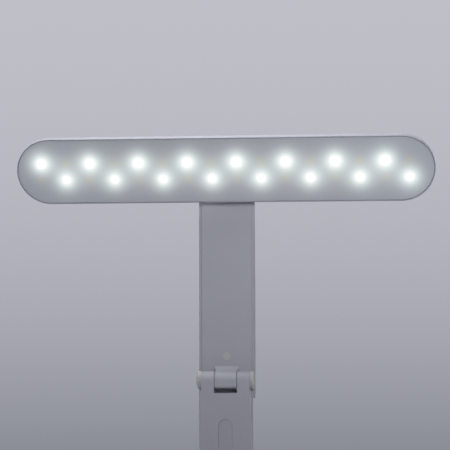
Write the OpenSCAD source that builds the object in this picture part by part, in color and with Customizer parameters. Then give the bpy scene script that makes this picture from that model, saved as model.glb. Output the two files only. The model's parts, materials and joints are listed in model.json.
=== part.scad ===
// Folding LED desk lamp: a flat pill-shaped head on two hinged arms over a weighted base.
// Millimetres. Z is up, the lit face looks towards -Y, and the origin is on the surface
// the lamp stands on, under the middle of the base.

/* [Head] */
// Length of the head, end to end
head_l = 300; // [260:1:360]
// Width of the head
head_w = 48; // [44:1:60]
// Thickness of the head
head_t = 8; // [7.5:0.1:12]
// Side wall of the head housing
head_wall = 1.6; // [1.3:0.1:2.4]
// Back wall of the head housing
head_back = 1.5; // [1.2:0.1:2]
// Lip of the housing around the diffuser
head_lip = 0.8; // [0.5:0.1:1]
// Rounding of the back edge of the head
head_round = 2.2; // [1:0.1:3]
// Thickness of the diffuser
diffuser_t = 1.5; // [1:0.1:2]
// How far the diffuser lies below the lip
diffuser_recess = 0.3; // [0:0.1:0.8]
// Angle of the lit face below the horizontal, with the head at rest
head_tilt = 21; // [15:1:24]
// Distance from the head hinge axis to the back of the head
neck_l = 18; // [18:0.5:24]
// Thickness of the neck that carries the head
neck_t = 8; // [6:0.5:9]

/* [Light] */
// Number of emitter columns
led_columns = 16; // [8:2:16]
// Distance from the head's ends to the outermost emitters
led_inset = 18; // [16:0.5:24]
// Distance between the two emitter rows
led_rows = 12.3; // [10:0.1:16]
// Length of an emitter
led_l = 3.5; // [2.5:0.1:4]
// Width of an emitter
led_w = 2.8; // [2:0.1:3.5]
// Height of an emitter
led_h = 0.8; // [0.5:0.1:1.2]
// Thickness of the emitter board
led_board_t = 1; // [0.8:0.1:1.6]
// Width of the emitter board
led_board_w = 38; // [34:1:40]

/* [Upper arm] */
// Distance from the middle hinge to the head hinge
upper_l = 159; // [140:1:200]
// Width of the upper arm
upper_w = 40; // [38.5:0.5:50]
// Thickness of the upper arm
upper_t = 12; // [11:0.5:16]
// Width of the rims beside the front panel
rim_w = 1.5; // [1.2:0.1:2]
// Rounding of the arms' back edges
arm_round = 2; // [1:0.1:3]
// How far the front panel lies below the rims
panel_recess = 0.4; // [0.1:0.1:0.6]
// How far the upper arm reaches below the middle hinge axis
upper_tail = 13; // [11:0.5:16]
// Rounding of the upper arm's lower back edge
tail_round = 8; // [6:0.5:9]
// Height of the bumper above the middle hinge
bumper_z = 17; // [15:0.5:22]
// Diameter of the bumper
bumper_d = 6; // [4:0.5:8]

/* [Lower arm] */
// Distance between the two hinges of the lower arm
lower_l = 175; // [165:1:220]
// Width of the lower arm
lower_w = 38; // [37.6:0.1:40]
// Rounding of the lower arm's front edges
edge_round = 1.2; // [0.6:0.1:1.5]
// Thickness of the front covers and panels
cover_t = 2; // [1.6:0.1:2.4]
// Back wall of both arm shells
shell_back = 1.8; // [1.5:0.1:2.4]
// Width of the touch strip
strip_w = 9.7; // [8:0.1:14]
// Length of the touch strip
strip_l = 100; // [60:1:110]
// Distance from the middle hinge down to the touch strip
strip_drop = 27.5; // [27.5:0.5:34]
// How far the touch strip lies below the front cover
strip_recess = 0.3; // [0.1:0.1:0.8]

/* [Hinges] */
// Radius of the hinge barrels, half the lower arm's thickness
barrel_r = 6.3; // [6:0.1:7.5]
// Radius of the main hinge pins
pin_r = 2.5; // [2:0.1:2.8]
// Radius of the head hinge pin
head_pin_r = 2; // [1.6:0.1:2.2]
// Radius of the wire way through each pin
wire_way_r = 1.2; // [0.8:0.1:1.3]
// Running clearance between a pin and its knuckle
run_gap = 0.05; // [0.03:0.01:0.08]
// Width of each knuckle
knuckle_w = 15.7; // [13:0.1:18]
// Gap between a knuckle and the ears beside it
ear_gap = 0.35; // [0.3:0.05:0.6]
// Distance between the outer faces of the ears
ears_w = 34.6; // [34:0.1:35]
// Height of the domed hinge caps
cap_h = 4.1; // [3.5:0.1:5]
// Distance from the middle hinge axis down to the knuckle's foot
knuckle_foot = 5.7; // [5.2:0.1:6]
// Rounding of the knuckle's lower front edge
knuckle_round = 1.8; // [1.5:0.1:3]
// Gap between the turning knuckle and the floor of the notch under it
notch_gap = 0.5; // [0.4:0.1:0.7]
// How far the notch's floor slopes down to the front
notch_slope = 7; // [0:0.5:8]
// Slope of the knuckle's neck, towards the upper arm
neck_slope = 8; // [5:1:12]
// Width of the neck's flared end
flare_w = 18; // [17:0.5:20]
// Depth of the neck's flared end
flare_d = 4; // [3:0.5:4.5]
// Height of the neck's flared end above the middle hinge axis
flare_top = 9.9; // [9:0.1:11]
// Gap between the two arms when they lie face to face
fold_gap = 1.1; // [0.8:0.1:2]
// Thickness of the friction washers
washer_t = 0.8; // [0.6:0.1:1]

/* [Base] */
// Width of the base
base_w = 110; // [100:1:130]
// Depth of the base
base_d = 165; // [155:1:200]
// Height of the base's top above the table
base_top = 20; // [20:0.5:26]
// Wall of the base's top shell
base_wall = 2.2; // [1.8:0.1:3]
// Rounding of the base's top edge
base_round = 4; // [2:0.5:6]
// Distance from the base's front edge back to its hinge
hinge_inset = 40; // [38:1:50]
// Height of the hinge axis above the base's top
hinge_rise = 8; // [8:0.5:12]
// Thickness of the bottom cover
bottom_t = 2; // [1.8:0.1:3]
// Thickness of the rubber pad
pad_t = 1.5; // [1:0.1:2.5]
// Distance from the base's edge in to the pad
pad_inset = 6; // [4:0.5:10]
// Thickness of the steel ballast plate
ballast_t = 5; // [3:0.5:6]
// Distance from the base's edge in to the ballast plate
ballast_inset = 13; // [12:0.5:20]
// Radius of the power button
button_r = 6; // [5:0.5:6.5]
// Distance from the button's centre to the hinge
button_ahead = 20; // [19:0.5:22]
// Height of the button above the base
button_rise = 0.8; // [0.8:0.1:1.5]
// Travel of the button
button_travel = 0.7; // [0.4:0.1:0.8]

/* [Fits] */
// Gap at the seams between covers and shells
seam = 0.1; // [0.05:0.05:0.3]
// Radius of the screws
screw_r = 1.3; // [1:0.1:1.5]
// Radius of the screw heads
screw_head_r = 2.4; // [2:0.1:2.6]
// Height of the screw heads
screw_head_h = 1.1; // [0.8:0.1:1.2]

/* [Hidden] */
$fn = 64;
eps = 0.01;

// Colours
body_grey = "#a5a6b1";
inner_grey = "#78797f";
steel = "#b4b6ba";
board_green = "#2f6b4a";
black = "#26272a";

// Places of the three hinges
hinge_y = hinge_inset - base_d / 2;
hinge_z = base_top + hinge_rise;
mid_z = hinge_z + lower_l;
upper_y = barrel_r + fold_gap;          // front of the upper arm, behind the middle hinge
head_axis_y = hinge_y + upper_y + upper_t / 2;
head_axis_z = mid_z + upper_l;

// Hinge pieces
knuckle_x = knuckle_w / 2;
ear_x = knuckle_x + ear_gap;
ears_x = ears_w / 2;
washer_edge = 1.4;
washer_r = barrel_r - washer_edge;
washer_seat = washer_t - ear_gap + seam;
washer_x = ear_x + washer_seat - washer_t;
cap_dome = 1.5;
cap_wall = 1.4;
cap_room = 2.4;
nut_r = 4.2;
nut_h = 1.8;
head_ears_x = upper_w / 2;
head_barrel_r = upper_t / 2;
head_washer_r = head_barrel_r - washer_edge;
head_nut_r = 3.4;
head_seat_r = 3.8;
head_seat = 3.4;
head_cap_t = 1.2;
fork_gap = 2.5;
head_notch = head_barrel_r + fork_gap;

// Lower arm
arm_gap = 1.2;                          // from a barrel to the end of the next arm
block_l = 15;                           // solid ends inside the arms
lower_back = barrel_r - shell_back;     // inner face of the back wall
lower_front = -barrel_r + cover_t;      // inner face of the front cover
lower_start = barrel_r + arm_gap;
shoulder_z = -barrel_r - 1;             // top of the arm's sides, under the hinge caps
knuckle_sweep = norm([barrel_r - knuckle_round, knuckle_foot - knuckle_round]) + knuckle_round;
notch_depth = (knuckle_sweep + notch_gap) / cos(notch_slope);
notch_fall = (barrel_r + 1) * tan(notch_slope);
notch_low = -notch_depth - notch_fall;
block_low = notch_low - block_l;
block_screw_x = 11.5;
touch_board_t = 1;
touch_board_margin = 2.5;
wire_r = 0.7;
wire_off = 0.1;                         // from the wires to the wall behind them
wire_slot_w = 4 * wire_r + 0.4;
wire_slot_t = 2 * wire_r + 0.3;

// Upper arm
panel_x = upper_w / 2 - rim_w - seam;
upper_start = -upper_tail;
hollow_z = upper_start + tail_round;    // where the upper arm's hollow starts
ledge_w = 1.2;                          // behind the edges of the front panel
upper_back = upper_y + upper_t - shell_back;
panel_back = upper_y + cover_t;
fork_root = 10;                         // solid length below the fork's slot
fork_z = upper_l - head_notch - fork_root;
root_y = upper_y + panel_recess;        // front of the panel
root_low = hollow_z + seam;
root_high = flare_top - 1;
fold_angle = 165;                       // the middle hinge's range
bumper_proud = 0.2;
bumper_lip = 0.8;
knuckle_screw_x = 5;

// Base
shell_z = pad_t + 0.5;
ceiling_z = base_top - base_wall;
floor_z = pad_t + bottom_t;
ballast_z = floor_z + ballast_t;
boss_r = 3.2;
boss_side = 19;                         // from the base's sides in to the screws
boss_end = 32.5;                        // and from its ends
boss_x = base_w / 2 - boss_side;
boss_y = base_d / 2 - boss_end;
board_room = 36.5;                      // kept free of ballast behind, for the control board
ballast_back = base_d / 2 - board_room;
cover_screw_l = 9;
bracket_screw_l = 12;
board_screw_l = 6;
arm_screw_l = 7;
battery_w = 44;
battery_l = 46;
battery_t = 7;
battery_corner_r = 1.5;
bracket_x = 26;
flange_lip = 1.2;                       // of the button, under the shell's top
bracket_y = button_ahead - button_r - flange_lip - 0.8;
bracket_leg = 6;
bracket_t = 3;
bracket_screw_y = 8;
button_y = hinge_y - button_ahead;
button_board_t = 1.6;
button_board_s = 24;
button_board_y = button_y - 2.5;
switch_h = 3.5;
switch_s = 6;
switch_post_r = 1.5;
switch_well = 2.4;
press_gap = 0.2;
flange_t = 1.2;
flange_top = ceiling_z - 0.1;
flange_bottom = flange_top - flange_t;
switch_top = flange_bottom - button_travel - press_gap;
button_foot = switch_top - switch_well + button_travel + press_gap;
button_board_z = switch_top - switch_h;
post_r = 2.2;
post_x = 9;
post_y = button_y - 7.5;
pipe_r = 1.1;
pipe_collar = 0.8;
status_led_size = [2, 1.2, 0.8];
pipe_y = button_y - 11.5;
usb_w = 8.94;
usb_h = 3.26;
usb_l = 7.3;
usb_wall = 0.3;
usb_tongue_t = 0.7;
usb_inset = 0.6;
control_w = 24;
control_l = 30;
control_t = 1.6;
control_end = 4.5;                      // from the base's back edge to the board
control_y = base_d / 2 - control_end - control_l;
rib_h = 6;
rib_t = 2;
rib_l = 24;
control_z = floor_z + rib_h;

// Head, in its own frame: Y up the face, Z out of the lit face, origin on the hinge axis
head_front = neck_l + head_t;
led_pitch = (head_l - 2 * led_inset) / (led_columns - 1);
diffuser_z = head_front - diffuser_recess - diffuser_t;
board_z = neck_l + head_back;
led_z = board_z + led_board_t;
plate_w = 40;
plate_h = 24;
plate_t = 2.5;
plate_screw_x = 14;
wire_hole_r = 1.6;
head_wire_r = 0.6;
connector_size = [7, 5, 2];

// ---------- shared shapes ----------

module at_base_hinge() translate([0, hinge_y, hinge_z]) children();
module at_mid_hinge() translate([0, hinge_y, mid_z]) children();
module at_head_hinge() translate([0, head_axis_y, head_axis_z]) children();
module in_head() at_head_hinge() rotate([90 + head_tilt, 0, 0]) children();

// A block given by its lowest and highest corners
module block(low, high) translate(low) cube(high - low);

// A rod along X
module rod(x1, x2, r) translate([x1, 0, 0]) rotate([0, 90, 0]) cylinder(r = r, h = x2 - x1);

// A shape drawn in Y and Z, pulled along X about its middle
module along_x(width) rotate([90, 0, 90]) linear_extrude(width, center = true) children();

// A flat shape with two round ends, its length along X
module stadium(l, w) {
    square([l - w, w], center = true);
    for (side = [-1, 1]) translate([side * (l - w) / 2, 0]) circle(d = w);
}

// One half of a pill's section, its lower outer edge rounded
module pill_section(half, t, r) {
    translate([0, r]) square([half, t - r]);
    square([half - r, t]);
    translate([half - r, r]) circle(r);
}

// An arm's section, seen from above, its two back corners rounded
module arm_section(w, front, back, r = arm_round) intersection() {
    union() {
        translate([-w / 2, front]) square([w, back - front - r]);
        translate([r - w / 2, front]) square([w - 2 * r, back - front]);
        for (side = [-1, 1]) translate([side * (w / 2 - r), back - r]) circle(r);
    }
    translate([-w / 2, front]) square([w, back - front]);
}

// A flat pill, its length along X and its lower edge rounded
module pill(l, w, t, r) {
    along_x(l - w) {
        pill_section(w / 2, t, r);
        mirror([1, 0]) pill_section(w / 2, t, r);
    }
    for (side = [0, 1]) mirror([side, 0, 0]) translate([(l - w) / 2, 0, 0]) rotate([0, 0, -90])
        rotate_extrude(angle = 180) pill_section(w / 2, t, r);
}

// A screw along +Z, its head's outer face at z = 0
module screw(length, r = screw_r, head_r = screw_head_r) {
    cylinder(r = head_r, h = screw_head_h);
    cylinder(r = r, h = length);
}

// The room a screw needs in the piece its head holds, and its hole in the next
module screw_room(length, r = screw_r, head_r = screw_head_r) {
    translate([0, 0, -1]) cylinder(r = head_r + seam, h = screw_head_h + 1);
    translate([0, 0, -1]) cylinder(r = r + run_gap, h = length + 1.3);
}

// ---------- hinge pieces, about an axis along X ----------

// A hollow pin whose head and nut seat on faces this far from the middle
module hinge_pin(seat, r, head_r) {
    difference() {
        union() {
            rod(-seat - nut_h, seat + nut_h, r);
            rod(-seat - nut_h, -seat, head_r);
        }
        rod(-seat - nut_h - 1, seat + nut_h + 1, wire_way_r);
    }
}

module hinge_nut(seat, r, outer_r) {
    difference() {
        translate([seat, 0, 0]) rotate([0, 90, 0]) cylinder(r = outer_r, h = nut_h, $fn = 6);
        rod(seat - 1, seat + nut_h + 1, r + run_gap);
    }
}

module hinge_washers(r, hole_r) {
    for (side = [0, 1]) mirror([side, 0, 0]) difference() {
        rod(washer_x, washer_x + washer_t, r);
        rod(washer_x - 1, washer_x + washer_t + 1, hole_r + run_gap);
    }
}

// A hinge pin's hole, right through
module pin_bore(r) rod(-ears_w, ears_w, r + run_gap);

// What a pin and its washers take out of two ears
module ear_bores(r, seat_r) {
    pin_bore(r);
    for (side = [0, 1]) mirror([side, 0, 0])
        rod(ear_x - 1, ear_x + washer_seat, seat_r + seam);
}

// Domed caps over the pin's ends, each turned from a section that has its room cut out
module hinge_caps() {
    dome_r = (barrel_r * barrel_r + cap_dome * cap_dome) / (2 * cap_dome);
    for (side = [0, 1]) mirror([side, 0, 0]) translate([ears_x, 0, 0]) rotate([0, 90, 0])
        rotate_extrude() difference() {
            intersection() {
                translate([0, cap_h - dome_r]) circle(dome_r);
                translate([0, seam]) square([barrel_r, cap_h]);
            }
            square([barrel_r - cap_wall, cap_room + seam]);
        }
}

// ---------- base ----------

// A pill-shaped plan, its length along the base's depth
module base_plan(inset) rotate([0, 0, 90]) stadium(base_d - 2 * inset, base_w - 2 * inset);

module boss_places() for (x = [-boss_x, boss_x], y = [-boss_y, boss_y]) translate([x, y, 0]) children();

module bracket_screw_places()
    for (x = [-1, 1], y = [-1, 1])
        translate([x * (bracket_x - bracket_leg / 2), hinge_y + y * bracket_screw_y, 0]) children();

module post_places() for (x = [-post_x, post_x]) translate([x, post_y, 0]) children();

module base_top_shell() {
    color(body_grey) difference() {
        union() {
            difference() {
                translate([0, 0, base_top]) mirror([0, 0, 1]) rotate([0, 0, 90])
                    pill(base_d, base_w, base_top - shell_z, base_round);
                translate([0, 0, shell_z - 1]) linear_extrude(ceiling_z - shell_z + 1)
                    base_plan(base_wall);
            }
            boss_places() translate([0, 0, floor_z]) cylinder(r = boss_r, h = ceiling_z - floor_z + eps);
            post_places() translate([0, 0, button_board_z])
                cylinder(r = post_r, h = ceiling_z - button_board_z + eps);
        }
        // Ears of the hinge bracket
        for (side = [0, 1]) mirror([side, 0, 0])
            block([ear_x - seam, hinge_y - barrel_r - seam, ceiling_z - 1],
                  [ears_x + seam, hinge_y + barrel_r + seam, base_top + 1]);
        // Button and light pipe
        translate([0, button_y, ceiling_z - 1]) cylinder(r = button_r + seam, h = base_wall + 2);
        translate([0, pipe_y, ceiling_z - 1]) cylinder(r = pipe_r + run_gap, h = base_wall + 2);
        // Charging socket
        translate([0, base_d / 2 - base_wall - 3, control_z + control_t + usb_h / 2]) rotate([-90, 0, 0])
            linear_extrude(base_wall + 4) stadium(usb_w + 2 * seam, usb_h + 2 * seam);
        boss_places() translate([0, 0, pad_t]) cylinder(r = screw_r + run_gap, h = cover_screw_l + 0.5);
        post_places() translate([0, 0, button_board_z - 1])
            cylinder(r = screw_r + run_gap, h = board_screw_l - 1);
    }
}

module base_bottom_cover() {
    color(inner_grey) difference() {
        union() {
            translate([0, 0, pad_t]) linear_extrude(bottom_t) base_plan(base_wall + seam);
            for (x = [-1, 1])
                block([x * control_w / 3 - rib_t / 2, control_y + rib_t, floor_z - eps],
                      [x * control_w / 3 + rib_t / 2, control_y + rib_t + rib_l, control_z]);
        }
        boss_places() translate([0, 0, pad_t]) screw_room(cover_screw_l);
    }
}

module base_pad() {
    color(black) linear_extrude(pad_t) base_plan(pad_inset);
}

module ballast_plate() {
    color(steel) difference() {
        translate([0, 0, floor_z]) linear_extrude(ballast_t) intersection() {
            base_plan(ballast_inset);
            translate([-base_w / 2, ballast_back - base_d]) square([base_w, base_d]);
        }
        boss_places() translate([0, 0, floor_z - 1]) cylinder(r = boss_r + 1, h = ballast_t + 2);
        bracket_screw_places() translate([0, 0, floor_z]) screw_room(bracket_screw_l);
    }
}

module base_screws() {
    color(steel) boss_places() translate([0, 0, pad_t]) screw(cover_screw_l);
}

module battery_pack() {
    color("#3a6ea8") translate([0, ballast_back - 4, ballast_z])
        linear_extrude(battery_t) translate([-battery_w / 2, -battery_l]) difference() {
            square([battery_w, battery_l]);
            for (x = [0, battery_w], y = [0, battery_l]) translate([x, y]) circle(battery_corner_r);
        }
}

module control_board() {
    color(board_green) block([-control_w / 2, control_y, control_z],
                             [control_w / 2, control_y + control_l, control_z + control_t]);
}

module usb_socket() {
    color(steel) translate([0, base_d / 2 - usb_inset, control_z + control_t + usb_h / 2]) rotate([90, 0, 0])
        difference() {
            linear_extrude(usb_l) stadium(usb_w, usb_h);
            translate([0, 0, -1]) linear_extrude(usb_l + 1 - usb_wall) difference() {
                stadium(usb_w - 2 * usb_wall, usb_h - 2 * usb_wall);
                square([usb_w - 3 * usb_tongue_t, usb_tongue_t], center = true);
            }
        }
}

module base_wires() {
    wire_x = battery_w / 2 + 2 * wire_r;
    color(black) for (x = [0, 2 * wire_r + seam])
        translate([wire_x + x, ballast_back - 2, ballast_z + wire_r]) rotate([90, 0, 0])
            cylinder(r = wire_r, h = ballast_back - 2 - hinge_y - bracket_y - 3);
}

module button_board() {
    color(board_green) difference() {
        block([-button_board_s / 2, button_board_y - button_board_s / 2, button_board_z - button_board_t],
              [button_board_s / 2, button_board_y + button_board_s / 2, button_board_z]);
        post_places() translate([0, 0, button_board_z - button_board_t - 1])
            cylinder(r = screw_r + run_gap, h = button_board_t + 2);
    }
}

module button_board_screws() {
    color(steel) post_places()
        translate([0, 0, button_board_z - button_board_t - screw_head_h]) screw(board_screw_l, head_r = 2);
}

module tact_switch() {
    color(black) difference() {
        translate([-switch_s / 2, button_y - switch_s / 2, button_board_z])
            cube([switch_s, switch_s, switch_h]);
        translate([0, button_y, switch_top - switch_well])
            cylinder(r = switch_post_r + press_gap, h = switch_well + 1);
    }
}

module status_led() {
    color("#f2f2ea") translate([-status_led_size[0] / 2, pipe_y - status_led_size[1] / 2, button_board_z])
        cube(status_led_size);
}

module status_light_pipe() {
    color("#e8f0f2") translate([0, pipe_y, 0]) {
        translate([0, 0, button_board_z + 1]) cylinder(r = pipe_r, h = base_top - button_board_z - 1);
        translate([0, 0, ceiling_z - pipe_collar - eps]) cylinder(r = pipe_r + pipe_collar, h = pipe_collar);
    }
}

module base_hinge_bracket() {
    color(body_grey) at_base_hinge() difference() {
        union() {
            for (side = [0, 1]) mirror([side, 0, 0]) {
                rod(ear_x, ears_x, barrel_r);
                block([ear_x, -barrel_r, ceiling_z - hinge_z - eps], [ears_x, barrel_r, 0]);
            }
            difference() {
                block([-bracket_x, -bracket_y, ballast_z - hinge_z],
                      [bracket_x, bracket_y, ceiling_z - hinge_z]);
                block([bracket_leg - bracket_x, -bracket_y - 1, ballast_z - hinge_z - 1],
                      [bracket_x - bracket_leg, bracket_y + 1, ceiling_z - hinge_z - bracket_t]);
            }
        }
        ear_bores(pin_r, washer_r);
        translate([0, -hinge_y, -hinge_z]) bracket_screw_places()
            translate([0, 0, floor_z]) screw_room(bracket_screw_l);
    }
}

module bracket_screws() {
    color(steel) bracket_screw_places() translate([0, 0, floor_z]) screw(bracket_screw_l);
}

module base_hinge_pin() { color(steel) at_base_hinge() hinge_pin(ears_x, pin_r, nut_r); }
module base_hinge_nut() { color(steel) at_base_hinge() hinge_nut(ears_x, pin_r, nut_r); }
module base_hinge_washers() { color(black) at_base_hinge() hinge_washers(washer_r, pin_r); }
module base_hinge_caps() { color(body_grey) at_base_hinge() hinge_caps(); }

module power_button() {
    color(body_grey) translate([0, button_y, 0]) {
        translate([0, 0, flange_bottom]) cylinder(r = button_r, h = base_top + button_rise - flange_bottom);
        translate([0, 0, flange_bottom]) cylinder(r = button_r + flange_lip, h = flange_t);
        translate([0, 0, button_foot]) cylinder(r = switch_post_r, h = flange_bottom - button_foot + eps);
    }
}

// ---------- lower arm, about the middle hinge unless it says otherwise ----------

lower_end = lower_start - lower_l;      // bottom end of the arm, below the middle hinge

module lower_screw_places(top, bottom) for (x = [-block_screw_x, block_screw_x]) {
    if (top) translate([x, barrel_r, notch_low - block_l / 2]) rotate([90, 0, 0]) children();
    if (bottom) translate([x, barrel_r, lower_end + block_l / 2]) rotate([90, 0, 0]) children();
}

module lower_arm_shell() {
    color(body_grey) at_mid_hinge() difference() {
        translate([0, 0, lower_end]) linear_extrude(shoulder_z - lower_end)
            arm_section(lower_w, lower_front + seam, barrel_r);
        // Room for the front cover's block and the inside
        block([-ears_x - seam, -barrel_r - 1, lower_end - 1], [ears_x + seam, lower_back, 1]);
        // Room for the ears
        block([-ears_x - seam, 0, notch_low - seam], [ears_x + seam, barrel_r + 1, 1]);
        lower_screw_places(true, true) screw_room(arm_screw_l);
    }
}

// Section of the ears, and of the block that joins them inside the arm
module ear_section() {
    circle(barrel_r);
    translate([-barrel_r, notch_low]) square([2 * barrel_r, -notch_low]);
    translate([-barrel_r, block_low]) square([barrel_r + lower_back - seam, -block_low]);
}

module lower_arm_front_cover() {
    strip_z = -strip_drop - strip_l / 2;
    color(body_grey) at_mid_hinge() difference() {
        union() {
            along_x(2 * ears_x) ear_section();
            translate([0, 0, lower_end]) linear_extrude(shoulder_z - lower_end) mirror([0, 1])
                arm_section(lower_w, -lower_front, barrel_r, edge_round);
        }
        // Notch for the turning knuckle
        along_x(2 * ear_x) polygon([
            [-barrel_r - 1, notch_low], [barrel_r + 1, notch_fall - notch_depth],
            [barrel_r + 1, barrel_r + 1], [-barrel_r - 1, barrel_r + 1]
        ]);
        ear_bores(pin_r, washer_r);
        translate([0, 0, strip_z]) rotate([90, 90, 0])
            linear_extrude(barrel_r + 1) stadium(strip_l + 2 * run_gap, strip_w + 2 * run_gap);
        lower_screw_places(true, false) screw_room(arm_screw_l);
        wire_slot(lower_back, block_low - 1, shoulder_z + 1);
    }
}

module touch_strip() {
    color("#a3a4af") at_mid_hinge() translate([0, -barrel_r + strip_recess, -strip_drop - strip_l / 2])
        rotate([-90, 90, 0]) linear_extrude(lower_front + barrel_r - strip_recess) stadium(strip_l, strip_w);
}

module touch_board() {
    color(board_green) at_mid_hinge() translate([0, lower_front, -strip_drop - strip_l / 2])
        rotate([-90, 90, 0]) linear_extrude(touch_board_t)
            stadium(strip_l + 2 * touch_board_margin, strip_w + 2 * touch_board_margin);
}

// The tongue at the arm's foot, about the base hinge
module lower_arm_foot() {
    color(inner_grey) difference() {
        at_base_hinge() difference() {
            union() {
                rod(-knuckle_x, knuckle_x, barrel_r);
                block([-knuckle_x, lower_front + seam, 0], [knuckle_x, lower_back - seam, lower_start + 1]);
                block([-ears_x, lower_front + seam, lower_start],
                      [ears_x, lower_back - seam, lower_start + block_l]);
            }
            pin_bore(pin_r);
            wire_slot(lower_back, lower_start, lower_start + block_l + 1);
        }
        at_mid_hinge() lower_screw_places(false, true) screw_room(arm_screw_l);
    }
}

module lower_arm_screws() {
    color(steel) at_mid_hinge() lower_screw_places(true, true) screw(arm_screw_l);
}

// Two wires against an arm's back wall, and the slot for them through its solid parts
module arm_wires(back, z1, z2) for (side = [-1, 1])
    translate([side * (wire_r + wire_off / 2), back - wire_r - wire_off, z1])
        cylinder(r = wire_r, h = z2 - z1);

module wire_slot(back, z1, z2) block([-wire_slot_w / 2, back - wire_slot_t, z1], [wire_slot_w / 2, back, z2]);

module lower_arm_wires() {
    color(black) at_mid_hinge()
        arm_wires(lower_back, lower_end + block_l / 4, -notch_depth - block_l / 4);
}

module mid_hinge_pin() { color(steel) at_mid_hinge() hinge_pin(ears_x, pin_r, nut_r); }
module mid_hinge_nut() { color(steel) at_mid_hinge() hinge_nut(ears_x, pin_r, nut_r); }
module mid_hinge_washers() { color(black) at_mid_hinge() hinge_washers(washer_r, pin_r); }
module mid_hinge_caps() { color(body_grey) at_mid_hinge() hinge_caps(); }

// ---------- upper arm, about the middle hinge ----------

module knuckle_screw_places() for (x = [-knuckle_screw_x, knuckle_screw_x], part = [1 / 4, 3 / 4])
    translate([x, upper_y + upper_t, root_low + (root_high - root_low) * part]) rotate([90, 0, 0]) children();

// The upper arm seen from the side, its lower back edge rounded
module upper_profile() {
    back = upper_y + upper_t;
    translate([upper_y, upper_start]) square([upper_t - tail_round, upper_l - upper_start]);
    translate([upper_y, hollow_z]) square([upper_t, upper_l - hollow_z]);
    translate([back - tail_round, hollow_z]) circle(tail_round);
}

module upper_arm_shell() {
    color(body_grey) at_mid_hinge() difference() {
        union() {
            intersection() {
                along_x(upper_w + 2) upper_profile();
                translate([0, 0, upper_start - 1]) linear_extrude(upper_l - upper_start + 2)
                    arm_section(upper_w, upper_y, upper_y + upper_t);
            }
            translate([0, upper_y + head_barrel_r, upper_l]) rod(-upper_w / 2, upper_w / 2, head_barrel_r);
        }
        // Inside of the arm
        block([ledge_w - panel_x, panel_back, hollow_z], [panel_x - ledge_w, upper_back, fork_z]);
        // Seat of the front panel
        block([-panel_x - seam, upper_y - 1, upper_start - 1], [panel_x + seam, panel_back + seam, fork_z]);
        // Slot of the fork
        block([-ear_x, upper_y - 1, upper_l - head_notch], [ear_x, upper_y + upper_t + 1, upper_l + upper_t]);
        translate([0, upper_y + head_barrel_r, upper_l]) {
            ear_bores(head_pin_r, head_washer_r);
            for (side = [0, 1]) mirror([side, 0, 0])
                rod(head_ears_x - head_seat, head_ears_x + 1, head_seat_r + seam);
        }
        knuckle_screw_places() screw_room(arm_screw_l);
        wire_slot(upper_back, fork_z - 1, fork_z + fork_root + 1);
    }
}

module upper_arm_front_panel() {
    color(body_grey) at_mid_hinge() difference() {
        block([-panel_x, root_y, upper_start], [panel_x, panel_back, fork_z - seam]);
        // Window for the knuckle's root
        block([-knuckle_x - seam, upper_y - 1, root_low - seam],
              [knuckle_x + seam, panel_back + 1, root_high + seam]);
        translate([0, upper_y - 1, bumper_z]) rotate([-90, 0, 0])
            cylinder(r = bumper_d / 2 + run_gap, h = cover_t + 2);
    }
}

// Section of the knuckle: round on top, with a flat front and foot
module knuckle_section() intersection() {
    union() {
        circle(barrel_r);
        translate([-barrel_r, knuckle_round - knuckle_foot]) square([barrel_r, knuckle_foot - knuckle_round]);
        translate([knuckle_round - barrel_r, -barrel_r]) square([barrel_r - knuckle_round, barrel_r]);
        translate([knuckle_round - barrel_r, knuckle_round - knuckle_foot]) circle(knuckle_round);
    }
    translate([-barrel_r, -knuckle_foot]) square([2 * barrel_r, knuckle_foot + barrel_r]);
}

// Section of the neck, from just inside the barrel to its flared end on the upper arm
module neck_section() {
    neck_r = barrel_r - 0.05;
    flare_y = root_y - flare_d;
    polygon([
        [0, -barrel_r / 2], [-neck_r * sin(neck_slope), neck_r * cos(neck_slope)],
        [flare_y, neck_r / cos(neck_slope) + flare_y * tan(neck_slope)],
        [root_y, flare_top], [root_y, -barrel_r / 2]
    ]);
}

// The flared end is wider than the knuckle, cut where the folded lower arm would meet it
module flare() difference() {
    along_x(flare_w) neck_section();
    rotate([180 - fold_angle, 0, 0])
        block([-flare_w, -4 * barrel_r, -4 * barrel_r], [flare_w, barrel_r + ear_gap, 4 * barrel_r]);
}

module mid_knuckle() {
    color(body_grey) at_mid_hinge() difference() {
        union() {
            along_x(knuckle_w) {
                knuckle_section();
                neck_section();
            }
            flare();
            // Root through the panel's window
            block([-knuckle_x, root_y - eps, root_low], [knuckle_x, upper_back - seam, root_high]);
        }
        pin_bore(pin_r);
        knuckle_screw_places() screw_room(arm_screw_l);
        wire_slot(upper_back, root_low - 1, root_high + 1);
    }
}

module knuckle_screws() {
    color(steel) at_mid_hinge() knuckle_screw_places() screw(arm_screw_l);
}

// A soft plug, held by a lip behind the panel
module bumper() {
    plug_l = panel_back - root_y + bumper_proud;
    color("#acaca4") at_mid_hinge() translate([0, root_y - bumper_proud, bumper_z]) rotate([-90, 0, 0]) {
        cylinder(r = bumper_d / 2, h = plug_l + eps);
        translate([0, 0, plug_l]) cylinder(r = bumper_d / 2 + bumper_lip, h = bumper_lip);
    }
}

module upper_arm_wires() {
    color(black) at_mid_hinge()
        arm_wires(upper_back, 0, fork_z + 3 * fork_root / 4);
}

module head_hinge_pin() {
    color(steel) at_head_hinge() hinge_pin(head_ears_x - head_seat, head_pin_r, head_nut_r);
}
module head_hinge_nut() {
    color(steel) at_head_hinge() hinge_nut(head_ears_x - head_seat, head_pin_r, head_nut_r);
}
module head_hinge_washers() { color(black) at_head_hinge() hinge_washers(head_washer_r, head_pin_r); }
module head_hinge_caps() {
    color(body_grey) at_head_hinge() for (side = [0, 1]) mirror([side, 0, 0])
        rod(head_ears_x - head_cap_t, head_ears_x, head_seat_r);
}

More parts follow.
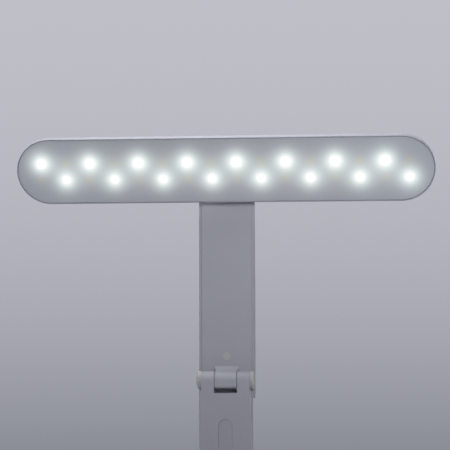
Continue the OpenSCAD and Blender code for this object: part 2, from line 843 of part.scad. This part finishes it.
// ---------- head, in its own frame ----------

module plate_screw_places() for (x = [-plate_screw_x, plate_screw_x]) translate([x, 0, 0]) children();

// Cool emitters start in the top row at the left, warm ones fill the other places
module led_places(first_row) for (i = [0 : led_columns - 1]) {
    row = (i + first_row) % 2 == 0 ? 1 : -1;
    translate([(i - (led_columns - 1) / 2) * led_pitch, row * led_rows / 2, led_z]) children();
}

module head_housing() {
    color(body_grey) in_head() difference() {
        translate([0, 0, neck_l]) pill(head_l, head_w, head_t, head_round);
        translate([0, 0, board_z]) linear_extrude(head_t)
            stadium(head_l - 2 * head_wall, head_w - 2 * head_wall);
        translate([0, 0, diffuser_z]) linear_extrude(head_t)
            stadium(head_l - 2 * head_lip, head_w - 2 * head_lip);
        plate_screw_places() translate([0, 0, neck_l - 1]) cylinder(r = screw_r + run_gap, h = head_back + 2);
        translate([0, 0, neck_l - 1]) cylinder(r = wire_hole_r, h = head_back + 2);
    }
}

module diffuser() {
    color("#e6e8f0") in_head() translate([0, 0, diffuser_z]) linear_extrude(diffuser_t)
        stadium(head_l - 2 * head_lip - 2 * seam, head_w - 2 * head_lip - 2 * seam);
}

module led_board() {
    color("#eef0f2") in_head() difference() {
        translate([0, 0, board_z]) linear_extrude(led_board_t)
            stadium(head_l - head_w + led_board_w, led_board_w);
        plate_screw_places() translate([0, 0, board_z - 1])
            cylinder(r = screw_head_r + 2 * seam, h = led_board_t + 2);
        translate([0, 0, board_z - 1]) cylinder(r = wire_hole_r, h = led_board_t + 2);
    }
}

module emitter() translate([-led_l / 2, -led_w / 2, 0]) cube([led_l, led_w, led_h]);

module cool_leds() { color("#f4fff8") in_head() led_places(0) emitter(); }
module warm_leds() { color("#f3e2bd") in_head() led_places(1) emitter(); }

module head_bracket() {
    color(body_grey) in_head() difference() {
        union() {
            rod(-knuckle_x, knuckle_x, head_barrel_r);
            block([-knuckle_x, -neck_t / 2, 0], [knuckle_x, neck_t / 2, neck_l - plate_t / 2]);
            translate([0, 0, neck_l - plate_t]) linear_extrude(plate_t) stadium(plate_w, plate_h);
        }
        pin_bore(head_pin_r);
        cylinder(r = wire_hole_r, h = neck_l + 1);
        plate_screw_places() translate([0, 0, neck_l - plate_t - 1])
            cylinder(r = screw_r + run_gap, h = plate_t + 2);
    }
}

module head_screws() {
    color(steel) in_head() plate_screw_places()
        translate([0, 0, board_z + screw_head_h]) mirror([0, 0, 1])
            screw(head_back + plate_t + screw_head_h - run_gap);
}

module board_connector() {
    color("#f0ede2") in_head() difference() {
        translate([-connector_size[0] / 2, -connector_size[1] / 2, led_z]) cube(connector_size);
        translate([0, 0, led_z - 1]) cylinder(r = wire_hole_r - 0.1, h = 1 + connector_size[2] / 2 + 0.2);
    }
}

module head_wires() {
    start = head_pin_r + 2 * head_wire_r;
    color(black) in_head() for (side = [-1, 1]) translate([side * (head_wire_r + seam), 0, start])
        cylinder(r = head_wire_r, h = led_z + connector_size[2] / 2 - start);
}

base_top_shell();
base_bottom_cover();
base_pad();
ballast_plate();
base_screws();
battery_pack();
control_board();
usb_socket();
base_wires();
button_board();
button_board_screws();
tact_switch();
status_led();
status_light_pipe();
base_hinge_bracket();
bracket_screws();
base_hinge_pin();
base_hinge_nut();
base_hinge_washers();
base_hinge_caps();
power_button();
lower_arm_shell();
lower_arm_front_cover();
touch_strip();
touch_board();
lower_arm_foot();
lower_arm_screws();
lower_arm_wires();
mid_hinge_pin();
mid_hinge_nut();
mid_hinge_washers();
mid_hinge_caps();
upper_arm_shell();
upper_arm_front_panel();
mid_knuckle();
knuckle_screws();
bumper();
upper_arm_wires();
head_hinge_pin();
head_hinge_nut();
head_hinge_washers();
head_hinge_caps();
head_housing();
diffuser();
led_board();
cool_leds();
warm_leds();
head_bracket();
head_screws();
board_connector();
head_wires();
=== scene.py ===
import json
import math

import bpy
from mathutils import Matrix, Vector

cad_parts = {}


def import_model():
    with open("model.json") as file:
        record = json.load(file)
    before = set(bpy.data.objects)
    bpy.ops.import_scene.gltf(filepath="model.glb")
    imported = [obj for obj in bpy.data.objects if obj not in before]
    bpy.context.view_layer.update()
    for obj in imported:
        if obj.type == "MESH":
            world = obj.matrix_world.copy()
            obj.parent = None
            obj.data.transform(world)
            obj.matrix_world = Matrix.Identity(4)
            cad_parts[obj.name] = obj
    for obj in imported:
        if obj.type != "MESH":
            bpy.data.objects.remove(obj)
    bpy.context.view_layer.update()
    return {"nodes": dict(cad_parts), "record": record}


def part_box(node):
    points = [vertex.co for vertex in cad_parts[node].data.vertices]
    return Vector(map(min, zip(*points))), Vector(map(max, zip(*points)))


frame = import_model()

IMAGE = 450                     # the picture's width and height, in pixels
HEAD_TILT = math.radians(21)
HEAD_AXIS = Vector((0.0, -0.0291, 0.362))
FACE_UP = Vector((0, -math.sin(HEAD_TILT), math.cos(HEAD_TILT)))
EMITTER_STEP = 0.0352           # between two lit emitters of one row
EMITTER_RUN = 7 * EMITTER_STEP  # from the first to the last of a row
EMITTER_ROW = 0.00615           # a row's distance from the middle of the face
HEAD_END = 0.143                # from the middle of the face to near its ends
NOISE_LOW, NOISE_HIGH = 0.3, 0.7        # a noise's values lie mostly between these


def linear(*srgb):
    """A colour given as 0 to 255, as the light values that a shader takes."""
    return tuple((c / 255 / 12.92) if c <= 10 else ((c / 255 + 0.055) / 1.055) ** 2.4 for c in srgb)


# ---------- material nodes ----------

class Nodes:
    """A node tree, with short ways to add to it."""

    def __init__(self, tree):
        self.tree = tree

    def add(self, kind, **settings):
        node = self.tree.nodes.new(kind)
        for key, value in settings.items():
            setattr(node, key, value)
        return node

    def put(self, socket, value):
        """Sets a socket to a number or colour, or links it to another socket."""
        if isinstance(value, bpy.types.NodeSocket):
            self.tree.links.new(value, socket)
        elif isinstance(value, tuple) and len(value) == 3 and socket.type == "RGBA":
            socket.default_value = (*value, 1)
        else:
            socket.default_value = value


    def math(self, operation, a, b=0.0):
        node = self.add("ShaderNodeMath", operation=operation)
        self.put(node.inputs[0], a)
        self.put(node.inputs[1], b)
        return node.outputs[0]

    def vector(self, operation, a, b=None, **sockets):
        node = self.add("ShaderNodeVectorMath", operation=operation)
        self.put(node.inputs[0], a)
        if b is not None:
            self.put(node.inputs[1], b)
        for name, value in sockets.items():
            self.put(node.inputs[name], value)
        return node.outputs["Value" if operation in ("DOT_PRODUCT", "LENGTH") else "Vector"]

    def blend(self, amount, a, b):
        node = self.add("ShaderNodeMix", data_type="RGBA")
        self.put(node.inputs["Factor"], amount)
        self.put(node.inputs["A"], a)
        self.put(node.inputs["B"], b)
        for output in node.outputs:
            if output.type == "RGBA":
                return output


class Shader(Nodes):
    """A material's nodes, which end in its Principled shader."""

    def __init__(self, name):
        self.material = bpy.data.materials.new(name)
        self.material.use_nodes = True
        super().__init__(self.material.node_tree)
        self.bsdf = self.tree.nodes["Principled BSDF"]
        self.place = self.add("ShaderNodeTexCoord").outputs["Object"]

    def set(self, **sockets):
        """Sets sockets of the Principled shader, with _ for the spaces in their names."""
        for name, value in sockets.items():
            self.put(self.bsdf.inputs[name.replace("_", " ")], value)
        return self

    def noise(self, scale, detail=2.0, stretch=None):
        place = self.place
        if stretch:
            mapping = self.add("ShaderNodeMapping")
            self.put(mapping.inputs["Vector"], place)
            mapping.inputs["Scale"].default_value = stretch
            place = mapping.outputs[0]
        node = self.add("ShaderNodeTexNoise")
        self.put(node.inputs["Vector"], place)
        node.inputs["Scale"].default_value = scale
        node.inputs["Detail"].default_value = detail
        return node.outputs["Fac"]

    def cells(self, scale):
        node = self.add("ShaderNodeTexVoronoi")
        self.put(node.inputs["Vector"], self.place)
        node.inputs["Scale"].default_value = scale
        return node.outputs["Distance"]

    def span(self, value, low, high):
        """A noise's useful middle part, spread from low to high."""
        node = self.add("ShaderNodeMapRange")
        self.put(node.inputs["Value"], value)
        limits = {"From Min": NOISE_LOW, "From Max": NOISE_HIGH, "To Min": low, "To Max": high}
        for name, number in limits.items():
            node.inputs[name].default_value = number
        return node.outputs[0]

    def fade(self, value, start, end):
        """0 up to start and 1 from end on, with a smooth rise between them."""
        node = self.add("ShaderNodeMapRange", interpolation_type="SMOOTHSTEP")
        self.put(node.inputs["Value"], value)
        node.inputs["From Min"].default_value = start
        node.inputs["From Max"].default_value = end
        return node.outputs[0]

    def bump(self, height, depth, under=None):
        """A relief this many metres deep, over another normal if one is given."""
        node = self.add("ShaderNodeBump")
        node.inputs["Distance"].default_value = depth
        self.put(node.inputs["Height"], height)
        if under is not None:
            self.put(node.inputs["Normal"], under)
        return node.outputs[0]

    def soft_edges(self, radius):
        node = self.add("ShaderNodeBevel", samples=6)
        node.inputs["Radius"].default_value = radius
        return node.outputs[0]


def mix_colours(s, a, b, scale):
    """Two near tones in soft blotches."""
    return s.blend(s.span(s.noise(scale, 3), 0.0, 1.0), a, b)


def darker(colour, share):
    return tuple(c * (1 - share) for c in colour)


def moulded(name, colour, rough=0.45, edge=0.00035, depth=0.00002):
    """Moulded plastic: faint flow marks, a fine spark-eroded grain and softened edges."""
    s = Shader(name)
    tone = mix_colours(s, colour, darker(colour, 0.05), 28)
    fine = s.noise(2400, 2)
    s.set(Base_Color=s.blend(s.span(fine, 0.0, 0.35), tone, darker(colour, 0.11)),
          Roughness=s.span(s.noise(90, 4), rough - 0.04, rough + 0.06))
    wave = s.bump(s.noise(22, 1), 0.00015, s.soft_edges(edge))
    return s.set(Normal=s.bump(fine, depth, wave)).material


def painted(name, colour):
    """Powder paint on a casting, with a slight orange peel."""
    s = Shader(name)
    tone = mix_colours(s, colour, darker(colour, 0.05), 40)
    peel = s.noise(700, 2)
    s.set(Base_Color=s.blend(s.span(peel, 0.0, 0.3), tone, darker(colour, 0.1)),
          Roughness=s.span(s.noise(150, 3), 0.42, 0.52),
          Normal=s.bump(peel, 0.00005, s.soft_edges(0.0005)))
    return s.material


def rubber(name, colour):
    """Matt rubber with a pebbled surface."""
    s = Shader(name)
    s.set(Base_Color=mix_colours(s, colour, darker(colour, 0.2), 120),
          Roughness=s.span(s.noise(300), 0.67, 0.83),
          Normal=s.bump(s.cells(900), 0.0001, s.soft_edges(0.0004)))
    return s.material


def bumper_rubber():
    """A soft plug, a little yellower towards its middle."""
    s = Shader("bumper_rubber")
    low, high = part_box("bumper")
    middle = tuple((a + b) / 2 for a, b in zip(low, high))
    distance = s.vector("LENGTH", s.vector("SUBTRACT", s.place, middle))
    rim = s.fade(distance, 0.0008, 0.0028)
    core, edge = linear(179, 180, 168), linear(176, 176, 179)
    s.set(Base_Color=s.blend(rim, mix_colours(s, core, darker(core, 0.08), 300), edge),
          Roughness=s.span(s.noise(300), 0.47, 0.63),
          Normal=s.bump(s.cells(2500), 0.00005, s.soft_edges(0.0004)))
    return s.material


def plated(name, colour, rough=0.28):
    """Zinc-plated steel, with fine turning lines and a cloudy passivation."""
    s = Shader(name)
    lines = s.noise(500, 3, stretch=(14, 1, 1))
    s.set(Base_Color=mix_colours(s, colour, (colour[0] * 0.9, colour[1] * 0.88, colour[2] * 0.8), 160),
          Metallic=1.0,
          Roughness=s.span(lines, rough - 0.08, rough + 0.12),
          Normal=s.bump(lines, 0.00002, s.soft_edges(0.0002)))
    return s.material


def board(name, colour, track):
    """A printed board: solder mask with a pattern of tracks showing through."""
    s = Shader(name)
    brick = s.add("ShaderNodeTexBrick")
    s.put(brick.inputs["Vector"], s.place)
    brick.inputs["Scale"].default_value = 260
    brick.inputs["Mortar Size"].default_value = 0.04
    s.put(brick.inputs["Color1"], colour)
    s.put(brick.inputs["Color2"], darker(colour, 0.06))
    s.put(brick.inputs["Mortar"], track)
    s.set(Base_Color=s.blend(s.span(s.noise(90), 0.1, 0.5), brick.outputs["Color"], colour),
          Roughness=s.span(s.noise(400), 0.28, 0.42),
          Normal=s.bump(s.noise(600), 0.00002))
    return s.material


def film(name, colour):
    """Thin plastic drawn into small creases: the film round a cell, or the sleeve of a wire."""
    s = Shader(name)
    crease = s.noise(60, 4, stretch=(1, 5, 1))
    s.set(Base_Color=mix_colours(s, colour, darker(colour, 0.15), 80),
          Roughness=s.span(s.noise(200), 0.16, 0.3),
          Normal=s.bump(crease, 0.0003))
    return s.material


def clear(name, colour):
    """Clear plastic, faintly cloudy."""
    s = Shader(name)
    s.set(Base_Color=mix_colours(s, colour, darker(colour, 0.04), 300),
          Transmission_Weight=0.85, IOR=1.49,
          Roughness=s.span(s.noise(800), 0.05, 0.16))
    return s.material


def emitter(name, colour):
    """The phosphor and package of an emitter, slightly mottled."""
    s = Shader(name)
    s.set(Base_Color=s.blend(s.span(s.noise(900, 3), 0.0, 0.5), colour, darker(colour, 0.25)),
          Roughness=s.span(s.noise(1200), 0.3, 0.5),
          Normal=s.bump(s.noise(2500), 0.00002))
    return s.material


# ---------- the lit face ----------

def face_place(s):
    """Where a point lies on the face: along the head, and up the face from its middle."""
    split = s.add("ShaderNodeSeparateXYZ")
    s.put(split.inputs[0], s.place)
    offset = s.vector("SUBTRACT", s.place, tuple(HEAD_AXIS))
    return split.outputs["X"], s.vector("DOT_PRODUCT", offset, tuple(FACE_UP))


def square_distance(s, along, across, first, row):
    """The square of the distance to a row's nearest emitter, smooth halfway between two."""
    t = s.math("SUBTRACT", along, first)
    held = s.math("MAXIMUM", s.math("MINIMUM", t, EMITTER_RUN), 0.0)
    turn = math.pi / EMITTER_STEP
    wave = s.math("DIVIDE", s.math("SINE", s.math("MULTIPLY", held, turn)), turn)
    total = None
    for part in (wave, s.math("SUBTRACT", t, held), s.math("SUBTRACT", across, row)):
        square = s.math("MULTIPLY", part, part)
        total = square if total is None else s.math("ADD", total, square)
    return total


def bell(s, square, radius):
    """A soft spot that fades over that radius."""
    return s.math("EXPONENT", s.math("MULTIPLY", square, -1 / radius ** 2))


# The light of one emitter through the sheet, as spots of growing radius: their brightest colours
GLOWS = [(0.0034, (0.388, 0.296, 0.291)), (0.0080, (0.569, 0.630, 0.573)), (0.0220, (0.052, 0.060, 0.058))]
ROW_SHARES = (1.07, 0.93)               # the upper row shines a little brighter than the lower
END_GLOW = (0.046, 0.054, 0.063)        # light that the head's ends throw back into the sheet
WARM_SPOT = 0.0036                      # the radius of the faint spot over an emitter that is off


def emitted(s, rows, along):
    """The colour sent through a point of the sheet, at those square distances from the emitters' rows."""
    reach = s.math("DIVIDE", along, HEAD_END)
    total = s.vector("SCALE", END_GLOW, Scale=s.math("MULTIPLY", reach, reach))
    for radius, colour in GLOWS:
        upper, lower = (s.math("MULTIPLY", bell(s, square, radius), share)
                        for square, share in zip(rows, ROW_SHARES))
        total = s.vector("ADD", total, s.vector("SCALE", colour, Scale=s.math("ADD", upper, lower)))
    return total


def lit_diffuser():
    """An opal sheet: the cool emitters shine through it in a zigzag, and the warm ones, which are off,
    show as faint beige spots between them."""
    s = Shader("opal_diffuser")
    along, across = face_place(s)
    left = -7.5 * EMITTER_STEP / 2
    right = left + EMITTER_STEP / 2
    cool = [square_distance(s, along, across, left, EMITTER_ROW),
            square_distance(s, along, across, right, -EMITTER_ROW)]
    warm = [square_distance(s, along, across, right, EMITTER_ROW),
            square_distance(s, along, across, left, -EMITTER_ROW)]
    spots = s.math("ADD", *(bell(s, square, WARM_SPOT) for square in warm))
    sheet = linear(169, 171, 181)
    tone = mix_colours(s, sheet, darker(sheet, 0.02), 20)
    s.set(Base_Color=s.blend(spots, tone, linear(178, 173, 168)),
          Roughness=s.span(s.noise(500), 0.38, 0.5),
          Normal=s.bump(s.noise(3000), 0.000015),
          Emission_Color=emitted(s, cool, along),
          Emission_Strength=1.0)
    return s.material


# ---------- materials by the record's slots ----------

GREY = linear(164, 166, 178)

MATERIALS = {
    "shell_plastic": lambda: moulded("shell_plastic", GREY),
    "housing_plastic": lambda: moulded("housing_plastic", GREY, edge=0.0009),
    "strip_plastic": lambda: moulded("strip_plastic", linear(163, 164, 175), rough=0.4, depth=0.00001),
    "button_plastic": lambda: moulded("button_plastic", linear(176, 177, 187), rough=0.35, depth=0.00001),
    "cap_plastic": lambda: moulded("cap_plastic", linear(180, 179, 182), rough=0.5, depth=0.00001),
    "painted_hinge": lambda: painted("painted_hinge", GREY),
    "opal_diffuser": lit_diffuser,
    "bumper_rubber": bumper_rubber,
    "inner_plastic": lambda: moulded("inner_plastic", linear(120, 121, 127), rough=0.55),
    "pad_rubber": lambda: rubber("pad_rubber", linear(42, 42, 45)),
    "plated_steel": lambda: plated("plated_steel", linear(202, 204, 207)),
    "socket_steel": lambda: plated("socket_steel", linear(195, 196, 199), rough=0.34),
    "circuit_board": lambda: board("circuit_board", linear(34, 118, 82), linear(60, 142, 96)),
    "white_board": lambda: board("white_board", linear(236, 237, 238), linear(222, 224, 226)),
    "battery_wrap": lambda: film("battery_wrap", linear(63, 118, 174)),
    "black_plastic": lambda: moulded("black_plastic", linear(38, 38, 41)),
    "wire_sleeve": lambda: film("wire_sleeve", linear(48, 48, 50)),
    "clear_plastic": lambda: clear("clear_plastic", linear(230, 238, 240)),
    "cream_plastic": lambda: moulded("cream_plastic", linear(230, 226, 214)),
    "led_package": lambda: emitter("led_package", linear(242, 250, 240)),
    "warm_led_package": lambda: emitter("warm_led_package", linear(238, 220, 180)),
}


# The housing's front edge is rounder than the other edges of its plastic
NODE_MATERIALS = {"head_housing": "housing_plastic"}


def dress():
    """Gives every CAD node the material of its slot in the record, or the material that NODE_MATERIALS
    names for that node.
    """
    made = {}
    for part in frame["record"]["subparts"]:
        slot = NODE_MATERIALS.get(part["node"], part["material_slot"])
        if slot not in made:
            made[slot] = MATERIALS[slot]()
        mesh = frame["nodes"][part["node"]].data
        mesh.materials.clear()
        mesh.materials.append(made[slot])


# ---------- the studio ----------

def area_light(name, place, target, size, watts, colour=(1, 1, 1), spread=180):
    """A round lamp turned to its target; a small spread works as a grid in front of it."""
    data = bpy.data.lights.new(name, "AREA")
    data.shape = "DISK"
    data.size = size
    data.energy = watts
    data.color = colour
    data.spread = math.radians(spread)
    light = bpy.data.objects.new(name, data)
    bpy.context.scene.collection.objects.link(light)
    light.location = place
    light.rotation_euler = (Vector(target) - Vector(place)).to_track_quat("-Z", "Y").to_euler()


def lights():
    """A gridded key from the right front, two lamps above, and fill for the sides and back."""
    area_light("key", place=(0.35, -1.15, 0.50), target=(0.03, -0.05, 0.40),
               size=0.48, watts=0.385, spread=33)
    area_light("top", place=(-0.07, -0.02, 0.80), target=(0, -0.02, 0.3),
               size=0.30, watts=1.68, colour=(1, 0.99, 0.95))
    area_light("high", place=(-0.24, -0.21, 0.90), target=(0, -0.03, 0.25), size=0.22, watts=1.75)
    area_light("left", place=(-1.3, 0.35, 0.6), target=(0, 0, 0.2), size=0.70, watts=3.0)
    area_light("right", place=(1.3, 0.35, 0.6), target=(0, 0, 0.2), size=0.70, watts=3.0)
    area_light("back", place=(0.0, 1.3, 0.7), target=(0, 0, 0.2), size=0.70, watts=3.6)


# A plain seamless backdrop: one tone near the horizon, which turns into a paler one above and below; the
# darker tone near the horizon is painted shade
BACKDROP_PAINTED_SHADE = linear(138, 140, 150)
BACKDROP_PALE = linear(197, 198, 206)
BACKDROP_LEVEL = -0.08          # the sine of the elevation at which it is darkest
BACKDROP_RISE = 0.16            # how far from there it is 70 % of the way to the paler tone
ROOM_COLOUR = (0.94, 0.96, 1.0)
ROOM_STRENGTH = 0.055           # the soft light from all round


def backdrop_colour(w):
    """The backdrop's colour by height alone."""
    split = w.add("ShaderNodeSeparateXYZ")
    w.put(split.inputs[0], w.add("ShaderNodeTexCoord").outputs["Generated"])
    height = w.math("SUBTRACT", split.outputs["Z"], BACKDROP_LEVEL)
    square = w.math("MULTIPLY", height, height)
    share = w.math("SQRT", w.math("DIVIDE", square, w.math("ADD", square, BACKDROP_RISE ** 2)))
    return w.blend(share, BACKDROP_PAINTED_SHADE, BACKDROP_PALE)


def world():
    """Soft light from all round. The camera, reflections and clear plastic see the backdrop instead."""
    scene_world = bpy.data.worlds.new("studio")
    bpy.context.scene.world = scene_world
    scene_world.use_nodes = True
    w = Nodes(scene_world.node_tree)
    w.tree.nodes.clear()
    room, seen = w.add("ShaderNodeBackground"), w.add("ShaderNodeBackground")
    w.put(room.inputs["Color"], ROOM_COLOUR)
    w.put(room.inputs["Strength"], ROOM_STRENGTH)
    w.put(seen.inputs["Color"], backdrop_colour(w))
    path = w.add("ShaderNodeLightPath").outputs
    rays = w.math("MAXIMUM", path["Is Camera Ray"], path["Is Glossy Ray"])
    rays = w.math("MAXIMUM", rays, path["Is Transmission Ray"])
    mix = w.add("ShaderNodeMixShader")
    for socket, value in zip(mix.inputs, (rays, room.outputs[0], seen.outputs[0])):
        w.put(socket, value)
    w.put(w.add("ShaderNodeOutputWorld").inputs["Surface"], mix.outputs[0])


FLOOR_RADIUS = 1.15
FLOOR_FADE = (0.45, 1.12)       # it turns into the backdrop between these distances from the lamp


def floor():
    """A plain pale disc that fades out at its rim."""
    bpy.ops.mesh.primitive_circle_add(vertices=96, radius=FLOOR_RADIUS, fill_type="NGON")
    disc = bpy.context.object
    disc.name = "floor"
    s = Shader("floor")
    pale = linear(222, 222, 227)
    s.set(Base_Color=mix_colours(s, pale, darker(pale, 0.02), 6), Roughness=s.span(s.noise(40), 0.6, 0.75))
    faded = s.fade(s.vector("LENGTH", s.place), *FLOOR_FADE)
    mix = s.add("ShaderNodeMixShader")
    air = s.add("ShaderNodeBsdfTransparent")
    for socket, value in zip(mix.inputs, (faded, s.bsdf.outputs[0], air.outputs[0])):
        s.put(socket, value)
    s.put(s.tree.nodes["Material Output"].inputs["Surface"], mix.outputs[0])
    disc.data.materials.append(s.material)


SENSOR_MM = 36
CLIP = (0.05, 50)


def camera(azimuth, pitch, roll, distance, target, focal_pixels):
    """A camera at that distance from the target, turned round it and looking up by the pitch.
    The angles are in degrees, and the focal length is in the picture's pixels."""
    a, p, r = (math.radians(x) for x in (azimuth, pitch, roll))
    ahead = Vector((-math.sin(a) * math.cos(p), math.cos(a) * math.cos(p), math.sin(p)))
    level = Vector((math.cos(a), math.sin(a), 0))
    upward = level.cross(ahead)
    right = math.cos(r) * level + math.sin(r) * upward
    data = bpy.data.cameras.new("camera")
    data.sensor_width = SENSOR_MM
    data.lens = SENSOR_MM * focal_pixels / IMAGE
    data.clip_start, data.clip_end = CLIP
    eye = bpy.data.objects.new("camera", data)
    bpy.context.scene.collection.objects.link(eye)
    turn = Matrix((right, right.cross(ahead), -ahead)).transposed()
    eye.matrix_world = Matrix.Translation(Vector(target) - distance * ahead) @ turn.to_4x4()
    bpy.context.scene.camera = eye


dress()
lights()
world()
floor()
camera(azimuth=5.0, pitch=3.29, roll=-0.178, distance=1.1772,
       target=(-0.00043, -0.0425, 0.31418), focal_pixels=1635.8)
bpy.context.scene.view_settings.view_transform = "Standard"
